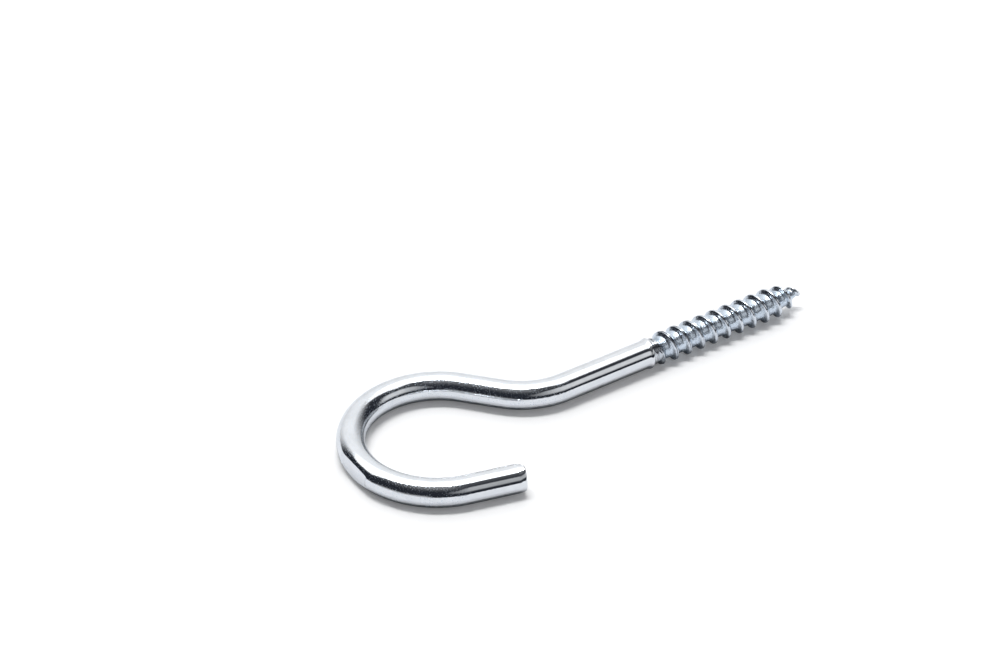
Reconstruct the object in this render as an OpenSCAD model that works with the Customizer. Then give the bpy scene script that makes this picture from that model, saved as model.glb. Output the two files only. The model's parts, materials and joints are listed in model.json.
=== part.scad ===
// Screw hook: one length of round steel wire, bent to an open bow at one end
// and thread-rolled to a woodscrew with a gimlet point at the other.
// Frame: the screw's axis is the X axis and its point looks to +X, the bow lies
// in the XY plane, and the origin is where the plain shank ends and the thread begins.

/* [Wire] */
// Diameter of the round wire
wire_d = 5.3; // [4.8:0.1:6]

/* [Hook] */
// Clear width inside the round bow
bow_inside_d = 26; // [20:0.5:34]
// Angle that the bow is bent through
bow_sweep = 214; // [190:1:230]
// Straight end of the hook past the bow
tip_l = 10.7; // [6:0.1:14]
// Centreline radius of the bend between the shank and the bow
neck_r = 13.8; // [10:0.1:18]
// Angle of the bend between the shank and the bow
neck_angle = 48.5; // [42:0.5:56]
// Plain straight shank between the neck and the thread
shank_l = 19.5; // [8:0.5:40]

/* [Cut end] */
// Length at the hook's end that the shears bent aside
cut_l = 2; // [1.6:0.1:3]
// Angle that they bent it by
cut_angle = 9; // [2:1:12]
// Rounding of the cut's rim
cut_round = 0.5; // [0.3:0.1:1]

/* [Screw] */
// Length of the threaded end, with its point
thread_l = 35.1; // [24:0.1:60]
// Outer diameter of the thread
thread_d = 6.2; // [5.8:0.1:7]
// Diameter of the core between the ridges
core_d = 4.35; // [3.6:0.05:4.6]
// Distance from one turn of the thread to the next
pitch = 3.02; // [2.4:0.01:4]
// Width of the thread's ridge at its foot
ridge_foot = 1.5; // [1.2:0.1:2.2]
// Width of the ridge where its rounded crest begins
ridge_crest = 0.5; // [0.3:0.1:1]
// Length of the tapered point
point_l = 8; // [5:0.1:14]
// Length over which the thread grows from the shank
run_in_l = 2.4; // [1.6:0.1:6]
// Angle round the screw at which the ridge leaves the shank
start_angle = 24; // [0:1:359]

/* [Tool marks] */
// Diameter of the lip that the thread rollers raised at the shank's end
lip_d = 5.6; // [5.4:0.05:6]
// Width of that lip
lip_w = 0.9; // [0.6:0.1:1.4]
// Tilt of that lip against the screw's axis
lip_tilt = 8; // [0:1:12]
// Length of the straight mark that the bending pin pressed into the bow
mark_l = 5.6; // [2:0.1:7]
// Angle from the start of the bow to the middle of that mark
mark_at = 139; // [60:0.5:180]

/* [Hidden] */

$fn = 64;
wire_r = wire_d / 2;
bow_r = bow_inside_d / 2 + wire_r;
// This straight between the two bends puts the bow's centre on the screw's axis.
neck_l = ((bow_r + neck_r) * cos(neck_angle) - neck_r) / sin(neck_angle);

// The wire draws in by this much on its radius where it is bent,
draw_in = 0.01;
bent_r = wire_r - draw_in;
// and every straight length runs on this far into the bends at its ends.
run_on = 0.1;
// How far the core stands below the shank's surface where it leaves the shank.
shoulder_step = 0.2;
// The lip's middle lies this far back on the shank, and leans to the point on this side.
lip_back = 0.5;
lip_lean = 48;
// The pin mark's cutter reaches this far past the wire.
cutter_margin = 1;

// Steps round one turn of the thread.
turn_steps = 24;
// One turn of the thread in section: places along the pitch, and heights from core to crest.
ridge = [
    [-pitch / 2, 0],
    [-ridge_foot / 2, 0],
    [-ridge_crest / 2, 0.86],
    [0, 1],
    [ridge_crest / 2, 0.86],
    [ridge_foot / 2, 0]
];
stations = len(ridge);
// The thread's own solid starts this deep in the shank.
thread_root_l = 1.5;
// Radius of the core and of the ridge's last claw at the very point.
point_r = 0.1;
claw_r = 0.4;
first_lap = -floor(thread_root_l / pitch) - 3;
laps = ceil(thread_l / pitch) - first_lap + 2;

// A straight length of wire along +X between two bends; what follows it starts at its end.
module straight(l) {
    translate([-run_on, 0, 0]) rotate([0, 90, 0]) cylinder(h = l + 2 * run_on, r = wire_r);
    translate([l, 0, 0]) children();
}

// A bend of the wire, to the left for a positive angle; what follows it starts at its end.
module bend(r, angle) {
    side = sign(angle);
    translate([0, side * r, 0]) {
        rotate([0, 0, angle > 0 ? -90 : 90 + angle])
            rotate_extrude(angle = abs(angle)) translate([r, 0]) circle(r = bent_r);
        rotate([0, 0, angle]) translate([0, -side * r, 0]) children();
    }
}

// What the bending pin took off the outside of the bow: the wire stays round in section
// there, but runs straight.
module pin_mark() {
    outer_r = bow_r + bent_r;
    depth = outer_r - sqrt(pow(outer_r, 2) - pow(mark_l / 2, 2));
    block = [depth + wire_r + cutter_margin, 2 * mark_l, 2 * (wire_r + cutter_margin)];
    translate([0, bow_r, 0]) rotate([0, 0, mark_at - 90]) translate([bow_r - depth, 0, 0])
        difference() {
            translate([block.x / 2, 0, 0]) cube(block, center = true);
            rotate([90, 0, 0]) cylinder(h = 2 * block.y, r = bent_r, center = true);
        }
}

module bow() {
    difference() {
        bend(bow_r, bow_sweep);
        pin_mark();
    }
    translate([0, bow_r, 0]) rotate([0, 0, bow_sweep]) translate([0, -bow_r, 0]) children();
}

// The sheared end: the last of the wire is bent aside a little, and its rim is rounded.
module cut_end() {
    rim_l = 1.2 * cut_round;
    bend((cut_l - rim_l) / (cut_angle * PI / 180), -cut_angle)
        rotate([0, 90, 0]) rotate_extrude() {
            translate([0, -run_on]) square([wire_r, rim_l - cut_round + run_on]);
            square([wire_r - cut_round, rim_l]);
            translate([wire_r - cut_round, rim_l - cut_round])
                intersection() {
                    circle(r = cut_round);
                    square(cut_round);
                }
        }
}

// The lip at the end of the shank, leaning over on one side.
module lip() {
    bulge_r = lip_w / 2;
    translate([-lip_back, 0, 0]) rotate([lip_lean, 0, 0]) rotate([0, 0, -lip_tilt])
        rotate([0, 90, 0]) rotate_extrude() translate([lip_d / 2 - bulge_r, 0]) circle(r = bulge_r);
}

function mix(a, b, t) = a + (b - a) * t;
// Goes smoothly from 0 to 1 as the thread grows out of the shank.
function run_in(x) = let (t = min(max(x / run_in_l, 0), 1)) t * t * (3 - 2 * t);
// Goes from 0 to 1 along the tapered point.
function taper(x) = max(0, (x - thread_l + point_l) / point_l);
function core_at(x) =
    mix(mix(wire_r - shoulder_step, core_d / 2, run_in(x)), point_r, pow(taper(x), 1.5));
function crest_at(x) =
    mix(mix(wire_r - shoulder_step, thread_d / 2, run_in(x)), claw_r, pow(taper(x), 2));

// Distance along the screw of one station of the ridge, a number of steps round from its start.
function station_x(step, station) =
    let (lap = floor(station / stations))
    pitch * (first_lap + lap + step / turn_steps) + ridge[station - lap * stations][0];
function thread_point(step, station) =
    let (
        x = station_x(step, station),
        height = ridge[station % stations][1],
        r = mix(core_at(x), crest_at(x), height),
        a = start_angle + 360 * step / turn_steps
    )
    [x, r * cos(a), r * sin(a)];

// The threaded end is one skin of stations and steps that winds round the screw: the last
// step of a turn meets the first step of the next. All stations past an end are its apex.
module screw() {
    rows = laps * stations;
    root_apex = turn_steps * rows;
    point_apex = root_apex + 1;
    function id(step, row) =
        let (
            over = step == turn_steps,
            s = over ? 0 : step,
            q = over ? row + stations : row,
            x = station_x(s, q)
        )
        x <= -thread_root_l ? root_apex : x >= thread_l ? point_apex : s * rows + q;
    points = [
        for (step = [0 : turn_steps - 1], row = [0 : rows - 1]) thread_point(step, row),
        [-thread_root_l, 0, 0],
        [thread_l, 0, 0]
    ];
    faces = [
        for (step = [0 : turn_steps - 1], row = [0 : rows - stations - 2])
            let (a = id(step, row), b = id(step + 1, row), c = id(step + 1, row + 1), d = id(step, row + 1))
            for (face = [[a, c, b], [a, d, c]])
                if (face[0] != face[1] && face[1] != face[2] && face[2] != face[0]) face
    ];
    polyhedron(points, faces);
}

module screw_hook() {
    color("lightsteelblue") {
        screw();
        lip();
        rotate([0, 0, 180]) translate([run_on, 0, 0])
            straight(shank_l - run_on) bend(neck_r, -neck_angle) straight(neck_l)
                bow() straight(tip_l - cut_l) cut_end();
    }
}

screw_hook();
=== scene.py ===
"""Zinc-plated screw hook: one length of drawn wire, bent to an open bow and thread-rolled
to a woodscrew, lying on a plain studio floor. All lengths are in metres, in the part's frame:
the screw's axis is X with its point to +X, and the bow lies in the XY plane."""

import json
import math

import bpy
import numpy as np
from bpy.props import FloatProperty, FloatVectorProperty, PointerProperty
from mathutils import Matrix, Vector


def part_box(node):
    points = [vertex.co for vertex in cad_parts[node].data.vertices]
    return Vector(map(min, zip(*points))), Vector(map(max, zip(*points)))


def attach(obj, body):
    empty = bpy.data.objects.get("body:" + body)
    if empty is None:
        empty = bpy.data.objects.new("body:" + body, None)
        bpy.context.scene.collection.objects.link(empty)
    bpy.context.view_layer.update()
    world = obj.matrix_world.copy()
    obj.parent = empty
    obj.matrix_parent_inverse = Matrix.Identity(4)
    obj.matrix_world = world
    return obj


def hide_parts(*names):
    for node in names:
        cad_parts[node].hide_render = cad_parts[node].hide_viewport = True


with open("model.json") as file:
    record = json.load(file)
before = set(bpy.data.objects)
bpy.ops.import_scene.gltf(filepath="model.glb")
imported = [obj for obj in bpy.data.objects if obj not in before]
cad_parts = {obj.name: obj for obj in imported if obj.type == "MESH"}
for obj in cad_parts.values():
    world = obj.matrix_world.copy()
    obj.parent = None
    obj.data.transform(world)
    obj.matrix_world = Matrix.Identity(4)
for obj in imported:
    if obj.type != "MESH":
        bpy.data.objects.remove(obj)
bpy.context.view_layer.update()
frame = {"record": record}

bl_info = {
    "name": "Screw hook",
    "version": (1, 0, 0),
    "blender": (4, 5, 0),
    "location": "3D View > Sidebar > Screw hook",
    "description": "A zinc-plated screw hook with a rolled thread, and a plain studio for it",
    "category": "Add Mesh",
}

NODE = "screw_hook"
BODY = "root"
PIECE = "zinc_screw_hook"

MM = 0.001
LOW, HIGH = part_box(NODE)
MOUNTS = {m["name"]: m for m in frame["record"]["mounts"]}
BOW_CENTRE = Vector(MOUNTS["hook_bow"]["pos_m"])
WIRE_R = MOUNTS["hook_tip"]["dims"]["r_mm"] * MM
BOW_R = HIGH.y - WIRE_R

# Vertices round the wire, and the thread's steps round one turn.
ROUND = 96
# Rings along each stretch of the wire, from the shank to the cut end. The link is the short
# straight piece between neck and bow.
SHANK_RINGS, NECK_RINGS, LINK_RINGS = 36, 30, 16
# They stand closer where the pin left its mark, and the same number leads up to it.
MARK_RINGS, BOW_RINGS = 90, 44
TIP_RINGS, SHEARED_RINGS, RIM_RINGS = 20, 20, 8
# The rings on the cut face, as shares of its radius.
CUT_RINGS = (0.85, 0.7, 0.55, 0.4, 0.25, 0.1)
# The straight end's last part, which the shears press, has the closer rings.
SHEARED_PART = 2 * MM

# The thread's skin takes over from the plain wire this far back on the shank, after a small gap
# that is bridged.
JOIN_X = -1.6 * MM
JOIN_GAP = 0.1 * MM
# The skin winds on past both ends, where it is cut off: at the join and just before the point.
TURNS_BEFORE, TURNS_AFTER = 2, 14
POINT_CUT = 0.02 * MM
SAME_PLACE = 0.001 * MM

# Half of the ridge in section: distances from the middle of its crest in millimetres, and
# heights as shares of the way from core to crest.
RIDGE_BESIDE = (0, 0.07, 0.14, 0.21, 0.28, 0.38, 0.48, 0.58, 0.68, 0.78, 0.9, 1.1, 1.3, 1.51)
RIDGE_HEIGHT = (1, 0.997, 0.982, 0.945, 0.87, 0.69, 0.49, 0.31, 0.175, 0.1, 0.055, 0.02, 0.004, 0)
# Where the skin's lines run beside that crest, in millimetres.
STATIONS = (
    0, 0.05, 0.1, 0.15, 0.2, 0.25, 0.3, 0.36, 0.43, 0.51, 0.59, 0.67, 0.76, 0.88, 1.05, 1.27
)

# Rings that the ends of the rollers left, from one to the next.
ROLLER_RINGS = 0.42 * MM
# The camera: what it looks at, where it stands from there, and how far it is turned about Z.
CAMERA_TARGET = Vector((-17.59, 23.44, -2.65)) * MM
CAMERA_SIDE = Vector((-0.4517, -0.6732, 0.5855)).normalized()
CAMERA_DISTANCE = 618.3 * MM
CAMERA_TURN = math.radians(33.86)


def length(name, description, default):
    given = {"name": name, "description": description, "default": default}
    return FloatProperty(**given, min=0, subtype="DISTANCE", unit="LENGTH")


def angle(name, description, degrees):
    given = {"name": name, "description": description, "default": math.radians(degrees)}
    return FloatProperty(**given, subtype="ANGLE", unit="ROTATION")


def share(name, description, default):
    given = {"name": name, "description": description, "default": default}
    return FloatProperty(**given, min=0, max=1, subtype="FACTOR")


def amount(name, description, default, lowest=0):
    return FloatProperty(name=name, description=description, default=default, min=lowest)


def colour(name, description, default):
    given = {"name": name, "description": description, "default": default}
    return FloatVectorProperty(**given, min=0, max=1, size=3, subtype="COLOR")


class WireShape(bpy.types.PropertyGroup):
    """Sizes of the bent wire"""

    radius: length("Wire radius", "Radius of the round wire", WIRE_R)
    bow_radius: length("Bow radius", "Centreline radius of the open bow", BOW_R)
    bow_sweep: angle("Bow sweep", "Angle that the bow is bent through", 214)
    neck_radius: length("Neck radius", "Centreline radius between shank and bow", 13.8 * MM)
    neck_angle: angle("Neck angle", "Angle between the shank and the bow's start", 48.5)
    shank: length("Shank", "Plain straight shank between neck and thread", 19.5 * MM)
    tip: length("Tip", "Straight end past the bow", 10.7 * MM)
    rim: length("Rim", "Rounding of the cut end's rim", 0.3 * MM)
    mark_middle: angle("Mark's place", "Angle round the bow's centre of the pin's mark", 179)
    mark_half: angle("Mark's reach", "Half the angle that the pin's mark spans", 13.5)
    mark_depth: length("Mark's depth", "Depth of the pin's mark in its middle", 0.5 * MM)
    mark_lean: angle("Mark's lean", "How far the pin's mark faces upwards", 4)
    sheared: length("Sheared length", "Length of the end that the shears pressed", 1.5 * MM)
    slant: share("Slant", "How much the cut face slants", 0.06)
    roll_over: angle("Roll-over", "Angle round the end of the side that was rolled over", 52.6)


class ThreadShape(bpy.types.PropertyGroup):
    """Sizes of the rolled thread"""

    crest: length("Crest radius", "Radius over the thread", 3.08 * MM)
    core: length("Core radius", "Radius between the ridges", 2.175 * MM)
    pitch: length("Pitch", "Distance from one turn to the next", 3.02 * MM)
    reach: length("Length", "Threaded length with its point", HIGH.x)
    point: length("Point", "Length of the tapered point", 8 * MM)
    run_in: length("Run-in", "Length over which the ridge grows from the shank", 2.4 * MM)
    start: angle("Start", "Angle round the screw at which the ridge leaves the shank", 24)
    lip: length("Lip", "Height of the lip that the rollers raised on the shank", 0.23 * MM)
    lip_back: length("Lip's place", "How far back on the shank the lip lies", 0.5 * MM)
    lip_tilt: angle("Lip's tilt", "Tilt of the lip against the screw's axis", 8)
    lip_lean: angle("Lip's lean", "Angle round the screw at which the lip leans to the point", 48)


class ZincFinish(bpy.types.PropertyGroup):
    """Colour and surface of the plating"""

    bright: colour("Bright zinc", "Colour of the clean plating", (0.80, 0.82, 0.85))
    rolled: colour("Rolled zinc", "How the rollers' traces shade the plating", (0.82, 0.90, 0.98))
    # Painted shade: this dark colour is multiplied into the plating along the seams of the first
    # turns and, more weakly, over the rollers' run-out on the shank.
    painted_shade: colour("Painted shade", "How seams and the rollers' rings shade the plating", (0.25, 0.27, 0.3))
    dull: colour("Dull zinc", "Colour of thicker, greyer plating", (0.74, 0.76, 0.785))


class StudioStage(bpy.types.PropertyGroup):
    """The floor, the light and the camera"""

    walls: colour("Walls", "Colour of the dark walls", (0.023, 0.026, 0.034))
    floor: colour("Floor", "Colour of the floor", (0.855, 0.864, 0.884))
    softbox: amount("Softbox", "Strength of the overhead softbox", 1.45)
    bulb: amount("Lamp", "Strength that its lamp adds in its middle", 20.5)
    whiteness: amount("Whiteness", "How much paler the camera sees the floor", 0.12)
    lens: amount("Lens", "Focal length in millimetres", 118.4, lowest=20)


# Shaping by hand


def deselect_all():
    if bpy.context.object and bpy.context.object.mode != "OBJECT":
        bpy.ops.object.mode_set(mode="OBJECT")
    bpy.ops.object.select_all(action="DESELECT")


def fresh_primitive(add, name, **options):
    """A new primitive in edit mode, with its place in its mesh."""
    deselect_all()
    add(**options)
    made = bpy.context.object
    made.name = made.data.name = name
    bpy.ops.object.transform_apply(location=True, rotation=True, scale=True)
    bpy.ops.object.mode_set(mode="EDIT")
    bpy.ops.mesh.select_all(action="SELECT")
    return made


def draw_out(steps, way):
    """Extrudes the selected rim along way, in equal steps."""
    for _ in range(steps):
        bpy.ops.mesh.extrude_region_move(TRANSFORM_OT_translate={"value": way / steps})


def turn(steps, sweep, centre):
    """Bends the selected rim on round centre, to the left for a positive sweep."""
    bpy.ops.mesh.spin(steps=steps, angle=-sweep, center=centre, axis=(0, 0, 1))


def heading(a):
    return Vector((math.cos(a), math.sin(a), 0))


def coordinates(mesh):
    co = np.empty(len(mesh.vertices) * 3)
    mesh.vertices.foreach_get("co", co)
    return co.reshape(-1, 3)


def place(mesh, co):
    mesh.vertices.foreach_set("co", co.ravel())
    mesh.update()


def smooth(t):
    t = np.clip(t, 0, 1)
    return t * t * (3 - 2 * t)


def mix(a, b, t):
    return a + (b - a) * t


def travelled(start, turning, s):
    """The way covered after the length s, from the heading start with so much turning a metre."""
    if not turning:
        return s * np.array([math.cos(start), math.sin(start)])
    a = start + turning * s
    return np.array([math.sin(a) - math.sin(start), math.cos(start) - math.cos(a)]) / turning


class Centreline:
    """Where the wire's middle runs, from the thread's start round to the cut end."""

    def __init__(self, wire):
        half_turn, left = math.pi, math.pi / 2
        self.neck_centre = Vector((-wire.shank, wire.neck_radius, 0))
        self.link = (
            (wire.bow_radius + wire.neck_radius) * math.cos(wire.neck_angle) - wire.neck_radius
        ) / math.sin(wire.neck_angle)
        self.link_heading = half_turn - wire.neck_angle
        self.tip_heading = self.link_heading + wire.bow_sweep - 2 * math.pi
        neck_end = self.neck_centre + wire.neck_radius * heading(self.link_heading + left)
        bow_start = neck_end + self.link * heading(self.link_heading)
        self.bow_centre = bow_start + wire.bow_radius * heading(self.link_heading + left)
        bow_end = self.bow_centre + wire.bow_radius * heading(self.tip_heading - left)
        self.end = bow_end + wire.tip * heading(self.tip_heading)
        # Each stretch: its length, the heading at its start, how much it turns for each metre,
        # and whether the bending worked it.
        self.stretches = [
            (wire.shank, half_turn, 0.0, False),
            (wire.neck_radius * wire.neck_angle, half_turn, -1 / wire.neck_radius, True),
            (self.link, self.link_heading, 0.0, True),
            (wire.bow_radius * wire.bow_sweep, self.link_heading, 1 / wire.bow_radius, True),
            (wire.tip, self.tip_heading, 0.0, False),
        ]

    def sample(self, step):
        """Points, headings, lengths, whether bent, and the bend's inner side, at equal steps."""
        rows = []
        at, done = np.zeros(2), 0.0
        for long, start, turning, worked in self.stretches:
            count = math.ceil(long / step)
            for s in np.arange(count) * long / count:
                point = at + travelled(start, turning, s)
                rows.append((point, start + turning * s, done + s, float(worked), np.sign(turning)))
            at = at + travelled(start, turning, long)
            done += long
        return tuple(np.array(values) for values in zip(*rows))


def bend_wire(wire, line):
    """The plain wire: shank, neck, bow, straight end, and the rounded rim of its cut."""
    piece = fresh_primitive(
        bpy.ops.mesh.primitive_circle_add,
        "bent_wire",
        vertices=ROUND,
        radius=wire.radius,
        fill_type="NOTHING",
        location=(JOIN_X, 0, 0),
        rotation=(0, math.pi / 2, 0),
    )
    draw_out(SHANK_RINGS, Vector((-wire.shank - JOIN_X, 0, 0)))
    turn(NECK_RINGS, -wire.neck_angle, line.neck_centre)
    draw_out(LINK_RINGS, line.link * heading(line.link_heading))
    half_mark = 1.3 * wire.mark_half
    bow_begin = line.link_heading - math.pi / 2
    before = wire.mark_middle - half_mark - bow_begin
    turn(MARK_RINGS, before, line.bow_centre)
    turn(MARK_RINGS, 2 * half_mark, line.bow_centre)
    turn(BOW_RINGS, wire.bow_sweep - before - 2 * half_mark, line.bow_centre)
    way = heading(line.tip_heading)
    draw_out(TIP_RINGS, (wire.tip - SHEARED_PART) * way)
    draw_out(SHEARED_RINGS, (SHEARED_PART - wire.rim) * way)
    # The rim goes round in a quarter circle, and the cut closes over its middle.
    at = line.end - wire.rim * way
    reach, radius = 0.0, wire.radius
    for k in range(1, RIM_RINGS + 1):
        a = k / RIM_RINGS * math.pi / 2
        new_reach = wire.rim * math.sin(a)
        new_radius = wire.radius - wire.rim * (1 - math.cos(a))
        draw_out(1, (new_reach - reach) * way)
        at += (new_reach - reach) * way
        scale = new_radius / radius
        bpy.ops.transform.resize(value=(scale,) * 3, center_override=at)
        reach, radius = new_reach, new_radius
    for part in CUT_RINGS:
        bpy.ops.mesh.extrude_region_move()
        scale = part * (wire.radius - wire.rim) / radius
        bpy.ops.transform.resize(value=(scale,) * 3, center_override=at)
        radius *= scale
    bpy.ops.mesh.merge(type="CENTER")
    bpy.ops.object.mode_set(mode="OBJECT")
    return piece


def beside_crest(x, a, thread):
    """How far beside the middle of the ridge's crest a place on the thread lies."""
    turns = (a - thread.start) / (2 * math.pi)
    return ((x / thread.pitch - turns + 0.5) % 1.0 - 0.5) * thread.pitch


def ridge_height(beside):
    """Height of the ridge beside its crest, as a share of its full height."""
    return np.interp(np.abs(beside), np.array(RIDGE_BESIDE) * MM, RIDGE_HEIGHT)


def bump(x, middle, width):
    """A hump of height 1 round middle."""
    return np.exp(-(((x - middle) / width) ** 2))


def rise(x, start, long):
    """Goes smoothly from 0 at start to 1 so long after it."""
    return smooth((x - start) / long)


def seam_share(x, beside, thread):
    """How far the two flanks are from closing over the crest; it fades over the first turns."""
    fading = rise(x, 0, thread.run_in) * (1 - rise(x, 1 * MM, 18 * MM))
    return fading * bump(beside, 0, 0.12 * MM)


def thread_radius(x, a, beside, wire, thread):
    """Radius of the threaded skin at x along the screw and angle a round it, beside its crest."""
    point_core, point_crest = 0.1 * MM, 0.4 * MM
    core_bulge, crest_bulge = 1.5, 2.3
    seam_depth = 0.2 * MM
    step_down = 0.2 * MM
    lip_x = -thread.lip_back + wire.radius * math.tan(thread.lip_tilt) * np.cos(a - thread.lip_lean)
    # The lip flares out of the shank and falls off sharply towards the thread.
    lip_width = np.where(x < lip_x, 0.42, 0.28) * MM
    lip = thread.lip * bump(x, lip_x, lip_width) * rise(x, JOIN_X + JOIN_GAP, 0.4 * MM)
    blank = wire.radius - step_down * rise(x, lip_x - 0.1 * MM, 0.5 * MM)
    run_in = rise(x, 0, thread.run_in)
    taper = np.clip((x - thread.reach + thread.point) / thread.point, 0, 1)
    core = mix(mix(blank, thread.core, run_in), point_core, taper**core_bulge)
    crest = mix(mix(blank, thread.crest, run_in), point_crest, taper**crest_bulge)
    seam = seam_depth * seam_share(x, beside, thread)
    return core + (crest - core) * ridge_height(beside) - seam + lip


def roll_thread(wire, thread):
    """The threaded end as one skin that winds round the screw."""
    piece = fresh_primitive(bpy.ops.mesh.primitive_plane_add, "rolled_thread", size=MM)
    first = -thread.pitch * (TURNS_BEFORE + 0.5 + thread.start / (2 * math.pi))
    bpy.ops.mesh.merge(type="CENTER")
    bpy.ops.transform.translate(value=(first, thread.core, 0))
    places = sorted({s * side for s in STATIONS for side in (1, -1)})
    half = thread.pitch / 2 / MM
    places = [*places, half]
    last = -half
    for p in places:
        draw_out(1, Vector(((p - last) * MM, 0, 0)))
        last = p
    bpy.ops.object.mode_set(mode="OBJECT")
    winding = piece.modifiers.new("winding", "SCREW")
    winding.axis = "X"
    winding.screw_offset = thread.pitch
    winding.steps = winding.render_steps = ROUND
    winding.iterations = TURNS_BEFORE + TURNS_AFTER
    winding.use_smooth_shade = True
    bpy.ops.object.modifier_apply(modifier="winding")
    co = coordinates(piece.data)
    a = np.arctan2(co[:, 2], co[:, 1])
    r = thread_radius(co[:, 0], a, beside_crest(co[:, 0], a, thread), wire, thread)
    co[:, 1], co[:, 2] = r * np.cos(a), r * np.sin(a)
    place(piece.data, co)
    bpy.ops.object.mode_set(mode="EDIT")
    bpy.ops.mesh.select_all(action="SELECT")
    bpy.ops.mesh.remove_doubles(threshold=SAME_PLACE)
    for x, past in ((JOIN_X + JOIN_GAP, "clear_inner"), (thread.reach - POINT_CUT, "clear_outer")):
        bpy.ops.mesh.select_all(action="SELECT")
        bpy.ops.mesh.bisect(plane_co=(x, 0, 0), plane_no=(1, 0, 0), **{past: True})
    bpy.ops.mesh.merge(type="CENTER")
    bpy.ops.object.mode_set(mode="OBJECT")
    return piece


def join_pieces(wire_piece, thread_piece):
    """One closed skin: the wire's first rim is bridged to the thread's."""
    deselect_all()
    thread_piece.select_set(True)
    wire_piece.select_set(True)
    bpy.context.view_layer.objects.active = wire_piece
    bpy.ops.object.join()
    piece = bpy.context.object
    piece.name = piece.data.name = PIECE
    bpy.ops.object.mode_set(mode="EDIT")
    bpy.ops.mesh.select_mode(type="EDGE")
    bpy.ops.mesh.select_all(action="DESELECT")
    bpy.ops.mesh.select_non_manifold()
    bpy.ops.mesh.bridge_edge_loops()
    bpy.ops.mesh.select_all(action="SELECT")
    bpy.ops.mesh.normals_make_consistent(inside=False)
    bpy.ops.mesh.select_mode(type="VERT")
    bpy.ops.object.mode_set(mode="OBJECT")
    return piece


def running_mean(values, reach):
    """Each value's mean over its neighbours up to reach places away."""
    count = 2 * reach + 1
    return np.convolve(np.pad(values, reach, mode="edge"), np.ones(count) / count, mode="valid")


def unbend(co, line):
    """For each vertex: its place along the wire and to its left, and how much it is bent."""
    points, headings, lengths, bends, inner = line.sample(0.1 * MM)
    nearest = np.empty(len(co), int)
    at_once = 4000
    for start in range(0, len(co), at_once):
        part = co[start : start + at_once, None, :2] - points[None]
        nearest[start : start + at_once] = (part**2).sum(2).argmin(1)
    off = co[:, :2] - points[nearest]
    h = headings[nearest]
    ahead = off[:, 0] * np.cos(h) + off[:, 1] * np.sin(h)
    left = off[:, 1] * np.cos(h) - off[:, 0] * np.sin(h)
    along = lengths[nearest] + ahead
    bends, inner = running_mean(bends, 15), running_mean(inner, 15)
    # The plating crumbled a little more where a bend pressed the wire together, on its inner side.
    pressed = np.clip(inner[nearest] * left / (2 * MM), -1, 1)
    bent = bends[nearest] * (0.85 + 0.15 * pressed)
    on_thread = co[:, 0] > 0
    along = np.where(on_thread, -co[:, 0], along)
    left = np.where(on_thread, -co[:, 1], left)
    return along, left, np.where(on_thread, 0, bent)


def press_pin_mark(co, wire, line):
    """The bending pin left a flat on the bow's outside; returns where it slid, beside the flat."""
    # The flat is this much shallower towards its ends, and ends in short steps.
    shallower, step_length = 0.6, 0.09
    # Where the pin slid, in degrees: round the bow from the flat's middle, and up the wire.
    slid_middle, slid_half, slid_height, slid_width, slid_reach = -9, 6, 56, 16, 30
    off = co - np.array(line.bow_centre)
    outwards = np.hypot(off[:, 0], off[:, 1])
    around = np.degrees(np.arctan2(off[:, 1], off[:, 0])) % 360 - math.degrees(wire.mark_middle)
    across = np.abs(around) / math.degrees(wire.mark_half)
    depth = wire.mark_depth * (1 - shallower * across**2) * smooth((1 - across) / step_length)
    lean = off[:, 2] * math.tan(wire.mark_lean) * (across < 1)
    limit = wire.bow_radius + wire.radius - depth - lean
    above = np.where(depth > 0, np.maximum(outwards - limit, 0), 0)
    co[:, :2] -= (above / outwards)[:, None] * off[:, :2]
    up = np.degrees(np.arctan2(off[:, 2], outwards - wire.bow_radius))
    slid = bump(around, slid_middle, slid_half) * bump(up, slid_height, slid_width)
    return np.where(np.abs(around) < slid_reach, slid, 0)


def shear_end(co, wire, line):
    """The shears rolled the end's upper side over, pushed the end aside and slanted its face."""
    # How far they pushed all of the end aside and how unevenly, and how far they flattened its
    # upper side and rolled its rim over.
    pushed, uneven, flattened, rolled = 0.3 * MM, 0.16 * MM, 0.47 * MM, 0.5 * MM
    uneven_turn = math.radians(80)
    way, left = heading(line.tip_heading), heading(line.tip_heading + math.pi / 2)
    off = co - np.array(line.end)
    before = -(off @ np.array(way))
    aside, up = off @ np.array(left), off[:, 2]
    reach = np.hypot(aside, up)
    at_end = (reach < 1.2 * wire.radius) & (before > -wire.rim)
    sheared = np.clip(1 - before / wire.sheared, 0, 1) * at_end
    roll = wire.roll_over
    around = np.arctan2(up, aside) - roll
    over = np.clip(np.cos(around), 0, 1) ** 4 * reach / wire.radius
    last = np.clip(1 - before / (0.6 * wire.sheared), 0, 1)
    rounding = (1 - np.sqrt(1 - last**2)) * (sheared > 0)
    push = sheared * (pushed + uneven * np.cos(2 * (around - uneven_turn)))
    push -= over * (flattened * sheared + rolled * rounding)
    out = np.array([math.cos(roll) * left[0], math.cos(roll) * left[1], math.sin(roll)])
    co += push[:, None] * out
    co += (wire.slant * aside * smooth(sheared * 1.3))[:, None] * np.array(way)


def name_surface(piece, **values):
    """Writes the values on the vertices, where the finish reads them."""
    for name, value in values.items():
        many = value.ndim == 2
        kind = "FLOAT_VECTOR" if many else "FLOAT"
        attribute = piece.data.attributes.new(name, kind, "POINT")
        attribute.data.foreach_set("vector" if many else "value", value.astype(np.float32).ravel())


# Finish


def node(tree, kind, inputs=None, **settings):
    made = tree.nodes.new(kind)
    for name, value in settings.items():
        setattr(made, name, value)
    for key, value in (inputs or {}).items():
        if isinstance(value, bpy.types.NodeSocket):
            tree.links.new(value, made.inputs[key])
        else:
            made.inputs[key].default_value = value
    return made


def maths(tree, operation, a, b=None, c=None):
    given = {k: v for k, v in enumerate((a, b, c)) if v is not None}
    return node(tree, "ShaderNodeMath", given, operation=operation).outputs[0]


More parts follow.
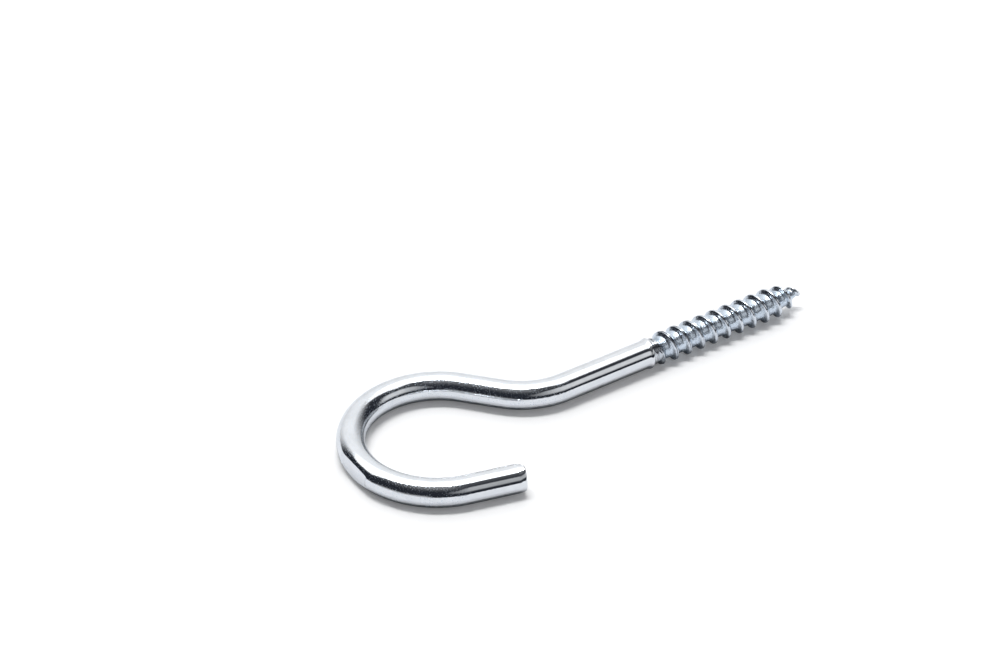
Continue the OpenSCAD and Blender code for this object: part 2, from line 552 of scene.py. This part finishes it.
def product(tree, first, *others):
    for other in others:
        first = maths(tree, "MULTIPLY", first, other)
    return first


def total(tree, first, *others):
    for other in others:
        first = maths(tree, "ADD", first, other)
    return first


def largest(tree, first, *others):
    for other in others:
        first = maths(tree, "MAXIMUM", first, other)
    return first


def ramp(tree, value, low, high, out_low=0.0, out_high=1.0, kind="SMOOTHSTEP"):
    """Goes from out_low to out_high while the value goes from low to high."""
    ends = {"From Min": low, "From Max": high, "To Min": out_low, "To Max": out_high}
    made = node(tree, "ShaderNodeMapRange", {"Value": value, **ends}, interpolation_type=kind)
    return made.outputs[0]


def mixed(tree, factor, *colours, blend="MIX"):
    """The second colour laid over the first by the factor."""
    settings = {"data_type": "RGBA", "blend_type": blend}
    made = node(tree, "ShaderNodeMix", {"Factor": factor}, **settings)
    for socket, value in zip([s for s in made.inputs if s.type == "RGBA"], colours):
        if isinstance(value, bpy.types.NodeSocket):
            tree.links.new(value, socket)
        else:
            socket.default_value = (*value, 1)
    return next(s for s in made.outputs if s.type == "RGBA")


def blank_material(name):
    made = bpy.data.materials.new(name)
    made.use_nodes = True
    made.node_tree.nodes.clear()
    return made, made.node_tree


def zinc_plating(finish):
    """Bright zinc over drawn wire: drawing lines, orange peel where it was bent, matt roots."""
    made, tree = blank_material("bright_zinc_plating")
    drawn = node(tree, "ShaderNodeAttribute", attribute_name="drawn").outputs["Vector"]
    bent, rolled, marked, seam, runout = (
        node(tree, "ShaderNodeAttribute", attribute_name=name).outputs["Fac"]
        for name in ("bent", "rolled", "marked", "seam", "runout")
    )

    def noise(scale, detail, along=1, rough=0.5):
        stretch = {"Vector": drawn, "Scale": (along, 1, 1)}
        placed = node(tree, "ShaderNodeMapping", stretch).outputs[0]
        given = {"Vector": placed, "Scale": scale, "Detail": detail, "Roughness": rough}
        return node(tree, "ShaderNodeTexNoise", given).outputs["Fac"]

    peel = noise(4200, 3, along=0.8, rough=0.6)
    lines = noise(9000, 2, along=0.06)
    cloud = noise(700, 3, along=0.5, rough=0.6)
    grit = noise(9000, 2, rough=0.6)
    # Specks are dense where the wire was bent, fewer on the thread and rare on the shank.
    speckled = largest(tree, bent, marked, product(tree, rolled, 0.3))
    specks = ramp(tree, noise(4600, 1), 0.58, 0.66)
    specks = product(tree, specks, maths(tree, "MULTIPLY_ADD", speckled, 0.85, 0.15))
    # Heights in millimetres. Roots are uneven, and the rollers' ends left rings where the thread
    # begins.
    worked = largest(tree, rolled, marked, bent)
    along = node(tree, "ShaderNodeSeparateXYZ", {"Vector": drawn}).outputs[0]
    rings = maths(tree, "SINE", product(tree, along, 2 * math.pi / ROLLER_RINGS))
    height = total(
        tree,
        product(tree, peel, maths(tree, "MULTIPLY_ADD", worked, 0.008, 0.003)),
        product(tree, lines, 0.0004),
        product(tree, grit, rolled, 0.006),
        product(tree, noise(2600, 2), rolled, 0.07),
        product(tree, rings, runout, 0.055),
    )
    relief = node(tree, "ShaderNodeBump", {"Height": height, "Strength": 1.0, "Distance": MM})
    rough = total(
        tree,
        maths(tree, "MULTIPLY_ADD", cloud, 0.03, 0.045),
        product(tree, rolled, 0.2),
        product(tree, specks, 0.31),
    )
    plated = mixed(tree, ramp(tree, cloud, 0.3, 0.7), finish.dull, finish.bright)
    worn = mixed(tree, largest(tree, rolled, specks), plated, finish.rolled, blend="MULTIPLY")
    # Painted shade: the seams and, at 0.3 of the strength, the run-out are darkened in the colour
    # itself.
    painted_shade_mask = largest(tree, seam, product(tree, runout, 0.3))
    shaded_plating = mixed(tree, painted_shade_mask, worn, finish.painted_shade, blend="MULTIPLY")
    look = {"Base Color": shaded_plating, "Metallic": 1.0, "Roughness": rough, "Normal": relief.outputs[0]}
    shader = node(tree, "ShaderNodeBsdfPrincipled", look)
    node(tree, "ShaderNodeOutputMaterial", {"Surface": shader.outputs[0]})
    return made


class HOOK_OT_make_hook(bpy.types.Operator):
    """Bend the wire, roll its thread and plate it"""

    bl_idname = "hook.make_hook"
    bl_label = "Make screw hook"

    def execute(self, context):
        wire, thread = context.scene.hook_wire, context.scene.hook_thread
        line = Centreline(wire)
        if (line.bow_centre - BOW_CENTRE).length > 0.1 * MM:
            raise RuntimeError("the wire's bow is not centred where the frame has it")
        wire_piece = bend_wire(wire, line)
        thread_piece = roll_thread(wire, thread)
        piece = join_pieces(wire_piece, thread_piece)
        co = coordinates(piece.data)
        along, left, bent = unbend(co, line)
        marked = press_pin_mark(co, wire, line)
        shear_end(co, wire, line)
        place(piece.data, co)
        x = co[:, 0]
        beside = beside_crest(x, np.arctan2(co[:, 2], co[:, 1]), thread)
        on_thread = rise(x, 0.2 * MM, 1.2 * MM)
        name_surface(
            piece,
            drawn=np.column_stack([along, left, co[:, 2]]),
            bent=bent,
            marked=marked,
            rolled=on_thread * (1 - 0.6 * ridge_height(beside)),
            seam=on_thread * seam_share(x, beside, thread),
            runout=rise(x, -0.3 * MM, 0.5 * MM) * (1 - rise(x, 1.6 * MM, 1.2 * MM)),
        )
        bpy.ops.object.shade_smooth()
        piece.data.materials.clear()
        piece.data.materials.append(zinc_plating(context.scene.hook_finish))
        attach(piece, BODY)
        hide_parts(NODE)
        return {"FINISHED"}


# Stage


def softbox(tree, right, away, up, stage):
    """A flat panel over the floor, in units of its height, with a lamp near its near edge."""
    above = maths(tree, "MAXIMUM", up, 0.02)
    across = maths(tree, "DIVIDE", right, above)
    deep = maths(tree, "DIVIDE", away, above)
    # Its far edge bows, and all edges are this soft.
    curve = maths(tree, "MULTIPLY_ADD", across, 0.3, 0.08)
    bowed = maths(tree, "MULTIPLY_ADD", curve, across, deep)
    left_edge, right_edge, near_edge, far_edge, soft = -1.12, 0.58, -0.02, 0.92, 0.02
    panel = product(
        tree,
        ramp(tree, up, 0.1, 0.2),
        ramp(tree, across, left_edge - soft, left_edge + soft),
        ramp(tree, across, right_edge + soft, right_edge - soft),
        ramp(tree, deep, near_edge - soft, near_edge + soft),
        ramp(tree, bowed, far_edge + soft, far_edge - soft),
    )
    # The lamp is long across and short in depth: its glow ends at 1.2 of these units.
    lamp_across = maths(tree, "ABSOLUTE", maths(tree, "MULTIPLY_ADD", across, 2.9, 0.35))
    lamp_deep = maths(tree, "ABSOLUTE", maths(tree, "MULTIPLY_ADD", deep, 9.5, -0.65))
    from_lamp = total(tree, *(maths(tree, "POWER", part, 2.0) for part in (lamp_across, lamp_deep)))
    bulb = ramp(tree, maths(tree, "SQRT", from_lamp), 1.2, 0.6, 0.0, stage.bulb)
    return product(tree, panel, total(tree, bulb, stage.softbox))


def surroundings(tree, azimuth, elevation):
    """What stands round the table, by direction and height in degrees; direction 0 is straight
    away from the camera, 90 is to its right."""
    # A pale sweep behind, whose top slants down to the right.
    rightwards = maths(tree, "MAXIMUM", azimuth, 0)
    sweep = product(
        tree,
        ramp(tree, azimuth, -62, -36),
        ramp(tree, azimuth, 60, 8),
        ramp(tree, maths(tree, "MULTIPLY_ADD", rightwards, 0.1, elevation), 49.5, 47.5),
        ramp(tree, elevation, 0, 38, 0.83, 1.03),
    )
    # A grey card to the right of the camera. Its top climbs, then falls at its far end.
    top_edge = maths(tree, "MULTIPLY_ADD", maths(tree, "MINIMUM", azimuth, 122), -0.27, elevation)
    far_end = maths(tree, "MAXIMUM", maths(tree, "SUBTRACT", azimuth, 142), 0)
    card = product(
        tree,
        ramp(tree, azimuth, 82, 98),
        ramp(tree, azimuth, 176, 120, kind="LINEAR"),
        ramp(tree, azimuth, 176, 164),
        ramp(tree, maths(tree, "MULTIPLY_ADD", azimuth, -0.14, elevation), -5, 5.6),
        ramp(tree, maths(tree, "MULTIPLY_ADD", far_end, 0.55, top_edge), 19.5, 11.5, 0, 0.74),
    )
    # The room over the camera grows paler towards the ceiling, least over the card.
    open_part = largest(
        tree, ramp(tree, azimuth, 110, 60), ramp(tree, azimuth, 138, 156, 0.35, 1)
    )
    paler = maths(tree, "POWER", ramp(tree, elevation, 38, 90, kind="LINEAR"), 1.8)
    ceiling = product(tree, paler, open_part, 0.46)
    # Beyond the near end of the table something pale stands low.
    low = product(
        tree,
        ramp(tree, azimuth, -176, -165),
        ramp(tree, azimuth, -110, -125),
        ramp(tree, elevation, 14, 1, 0, 0.6),
    )
    return sweep, card, ceiling, low


def studio_world(stage):
    """What the plating mirrors: a softbox overhead, a pale sweep behind, a dark room in front with
    a grey card. The camera sees plain white."""
    world = bpy.data.worlds.new("studio_surroundings")
    world.use_nodes = True
    tree = world.node_tree
    tree.nodes.clear()
    way = node(tree, "ShaderNodeTexCoord").outputs["Generated"]
    # Turned so that X points right and Y away as the camera stands.
    turned = node(tree, "ShaderNodeMapping", {"Vector": way, "Rotation": (0, 0, CAMERA_TURN)})
    right, away, up = node(tree, "ShaderNodeSeparateXYZ", {"Vector": turned.outputs[0]}).outputs
    azimuth = maths(tree, "DEGREES", maths(tree, "ARCTAN2", right, away))
    elevation = maths(tree, "DEGREES", maths(tree, "ARCSINE", up))
    overhead = softbox(tree, right, away, up, stage)
    light = largest(tree, overhead, *surroundings(tree, azimuth, elevation))
    seen = node(tree, "ShaderNodeLightPath").outputs["Is Camera Ray"]

    def background(colour, strength):
        given = {"Color": (*colour, 1), "Strength": strength}
        return node(tree, "ShaderNodeBackground", given).outputs[0]

    lamps = background((0.995, 0.998, 1), light)
    room = node(tree, "ShaderNodeAddShader", {0: lamps, 1: background(stage.walls, 1.0)})
    plain = background((1, 1, 1), 1.0)
    either = node(tree, "ShaderNodeMixShader", {0: seen, 1: room.outputs[0], 2: plain})
    node(tree, "ShaderNodeOutputWorld", {"Surface": either.outputs[0]})
    return world


def floor_paint(stage):
    """A pale floor that the camera sees as plain white apart from the shadow."""
    made, tree = blank_material("pale_studio_floor")
    seen = node(tree, "ShaderNodeLightPath").outputs["Is Camera Ray"]
    # Painted shade: mirrored in the plating, the floor's colour is darkened by an occlusion factor
    # where it lies close under the wire, on top of the shadow that the lamps cast.
    near = {"Distance": 3.4 * MM}
    close = node(tree, "ShaderNodeAmbientOcclusion", near, samples=8).outputs["AO"]
    shaded = {0: stage.floor, "Scale": maths(tree, "MULTIPLY_ADD", close, 0.8, 0.2)}
    dimmed = node(tree, "ShaderNodeVectorMath", shaded, operation="SCALE")
    matt = node(tree, "ShaderNodeBsdfDiffuse", {"Color": dimmed.outputs[0]})
    # The camera sees a neutral paint, lifted a little so that it comes out white.
    white = node(tree, "ShaderNodeBsdfDiffuse", {"Color": (0.88, 0.88, 0.88, 1)})
    added = {"Color": (1, 1, 1, 1), "Strength": stage.whiteness}
    glow = node(tree, "ShaderNodeEmission", added)
    paler = node(tree, "ShaderNodeAddShader", {0: white.outputs[0], 1: glow.outputs[0]})
    sides = {0: seen, 1: matt.outputs[0], 2: paler.outputs[0]}
    either = node(tree, "ShaderNodeMixShader", sides)
    node(tree, "ShaderNodeOutputMaterial", {"Surface": either.outputs[0]})
    return made


class HOOK_OT_make_stage(bpy.types.Operator):
    """Lay the floor under the hook, hang the softbox and place the camera"""

    bl_idname = "hook.make_stage"
    bl_label = "Make studio"

    def execute(self, context):
        scene = context.scene
        stage, wire, thread = scene.hook_stage, scene.hook_wire, scene.hook_thread
        # The floor touches the bow's far side and the ridge's first full turn.
        bow_x, bow_z = BOW_CENTRE.x - wire.bow_radius, -wire.radius
        turns = 2 - (math.pi / 2 + thread.start) / (2 * math.pi)
        turn_x, turn_z = thread.pitch * turns, LOW.z
        slope = (bow_z - turn_z) / (turn_x - bow_x)
        middle = Vector((BOW_CENTRE.x, 0, bow_z - slope * wire.bow_radius))
        floor = fresh_primitive(
            bpy.ops.mesh.primitive_plane_add,
            "studio_floor",
            size=6,
            location=middle,
            rotation=(0, math.atan(slope), 0),
        )
        bpy.ops.mesh.subdivide(number_cuts=3)
        bpy.ops.object.mode_set(mode="OBJECT")
        floor.data.materials.append(floor_paint(stage))
        scene.world = studio_world(stage)
        camera = bpy.data.cameras.new("studio_camera")
        camera.lens = stage.lens
        camera.sensor_width = 36
        camera.clip_start = 0.01
        viewer = bpy.data.objects.new("studio_camera", camera)
        scene.collection.objects.link(viewer)
        viewer.location = CAMERA_TARGET + CAMERA_DISTANCE * CAMERA_SIDE
        viewer.rotation_euler = CAMERA_SIDE.to_track_quat("Z", "Y").to_euler()
        scene.camera = viewer
        scene.view_settings.view_transform = "Standard"
        return {"FINISHED"}


class HOOK_PT_panel(bpy.types.Panel):
    """The screw hook's sizes and steps"""

    bl_label = "Screw hook"
    bl_idname = "HOOK_PT_panel"
    bl_space_type = "VIEW_3D"
    bl_region_type = "UI"
    bl_category = "Screw hook"

    def draw(self, context):
        layout = self.layout
        for operator in (HOOK_OT_make_hook, HOOK_OT_make_stage):
            layout.operator(operator.bl_idname)
        for name in GROUPS:
            box = layout.box()
            group = getattr(context.scene, name)
            for prop in group.bl_rna.properties:
                if prop.identifier not in ("rna_type", "name"):
                    box.prop(group, prop.identifier)


GROUPS = {
    "hook_wire": WireShape,
    "hook_thread": ThreadShape,
    "hook_finish": ZincFinish,
    "hook_stage": StudioStage,
}
CLASSES = (*GROUPS.values(), HOOK_OT_make_hook, HOOK_OT_make_stage, HOOK_PT_panel)


def register():
    for cls in CLASSES:
        bpy.utils.register_class(cls)
    for name, cls in GROUPS.items():
        setattr(bpy.types.Scene, name, PointerProperty(type=cls))


def unregister():
    for name in GROUPS:
        delattr(bpy.types.Scene, name)
    for cls in reversed(CLASSES):
        bpy.utils.unregister_class(cls)


def main():
    register()
    bpy.ops.hook.make_hook()
    bpy.ops.hook.make_stage()


if __name__ == "__main__":
    main()
